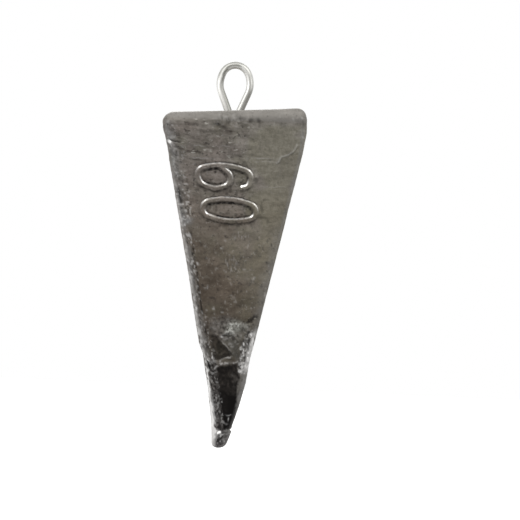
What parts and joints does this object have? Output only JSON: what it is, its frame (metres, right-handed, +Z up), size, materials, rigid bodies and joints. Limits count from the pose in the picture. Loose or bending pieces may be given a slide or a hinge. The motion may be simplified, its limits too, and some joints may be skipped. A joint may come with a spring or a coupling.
{
  "type": "fishing sinker",
  "caption": "Four-sided tapered lead sinker with rounded edges, a raised weight number and a bent wire eye cast into its top, for holding a line on a sandy bottom.",
  "frame": {"origin": "centre of the wire eye's round top, where the line pulls", "axes": "+Z up along the body's axis from the tip to the eye, -Y out of the numbered front face, +X to that face's right"},
  "size_m": [0.0185, 0.0188, 0.0484],
  "materials": {
    "lead": "satin",
    "tinned_wire": "gloss"
  },
  "bodies": {
    "root": {"lead_body": "lead", "wire_eye": "tinned_wire"}
  },
  "joints": []
}
